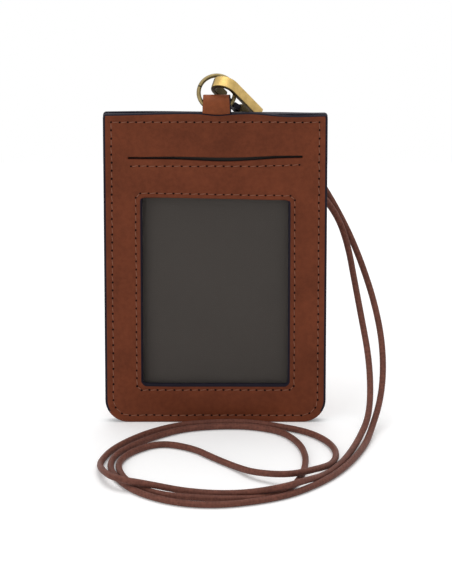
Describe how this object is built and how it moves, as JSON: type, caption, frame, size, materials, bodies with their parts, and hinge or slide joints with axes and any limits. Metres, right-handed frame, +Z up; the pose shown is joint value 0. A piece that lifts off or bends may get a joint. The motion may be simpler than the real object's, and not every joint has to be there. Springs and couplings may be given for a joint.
{
  "type": "id badge wallet",
  "caption": "Upright leather badge wallet with a clear window and a card slot, a ring and snap hook on a top loop, and a cord lanyard.",
  "frame": {"origin": "middle of the wallet's bottom edge, halfway through its thickness, on the surface it stands on", "axes": "+X to the right seen from the front, +Y from the front to the back, +Z up the wallet"},
  "size_m": [0.0987, 0.1184, 0.1216],
  "materials": {
    "leather": "smooth, waxed",
    "leather_edge": "painted edge",
    "strap_leather": "smooth, undyed edge",
    "film": "clear, gloss",
    "lining": "fine woven",
    "thread": "waxed thread",
    "brass": "satin",
    "antique_brass": "satin, aged",
    "spring_steel": "bright",
    "cord": "waxed round cord"
  },
  "bodies": {
    "wallet": {"front_panel": "leather", "rear_panel": "leather", "edge_welt": "leather_edge", "window_film": "film", "pocket_lining": "lining", "leather_loop": "strap_leather", "perimeter_stitching_front": "thread", "perimeter_stitching_rear": "thread", "window_stitching": "thread", "slot_stitching": "thread", "cord_lead_inner": "cord", "cord_drop_inner": "cord", "cord_floor_loops": "cord", "cord_drop_outer": "cord", "cord_lead_outer": "cord"},
    "ring": {"jump_ring": "antique_brass"},
    "hook": {"hook_body": "brass", "gate_pin": "antique_brass", "gate_spring": "spring_steel"},
    "gate": {"hook_gate": "brass"},
    "swivel": {"swivel_stud": "brass", "cord_cup": "brass"}
  },
  "joints": [
    {"name": "ring_swing", "type": "hinge", "parent": "wallet", "child": "ring", "pos_m": [0.0005, 0.00027, 0.11138], "axis": [1, 0, 0], "range_deg": [0, 28], "deforming": ["cord_lead_inner", "cord_drop_inner", "cord_drop_outer", "cord_lead_outer"]},
    {"name": "hook_swing", "type": "hinge", "parent": "ring", "child": "hook", "pos_m": [0.00654, 0.00292, 0.11504], "axis": [0.0523, 0.587, 0.8079], "range_deg": [-10, 6], "deforming": ["cord_lead_inner", "cord_drop_inner", "cord_drop_outer", "cord_lead_outer"]},
    {"name": "gate_open", "type": "hinge", "parent": "hook", "child": "gate", "pos_m": [0.00806, 0.01074, 0.10649], "axis": [0.2806, 0.683, 0.6744], "range_deg": [0, 25], "stiffness_Nm_per_rad": 0.01, "springref_deg": -8.59, "deforming": ["gate_spring"]},
    {"name": "swivel_spin", "type": "hinge", "parent": "hook", "child": "swivel", "pos_m": [0.00323, 0.00211, 0.11724], "axis": [0.5342, 0.4726, -0.7009], "continuous": true}
  ]
}
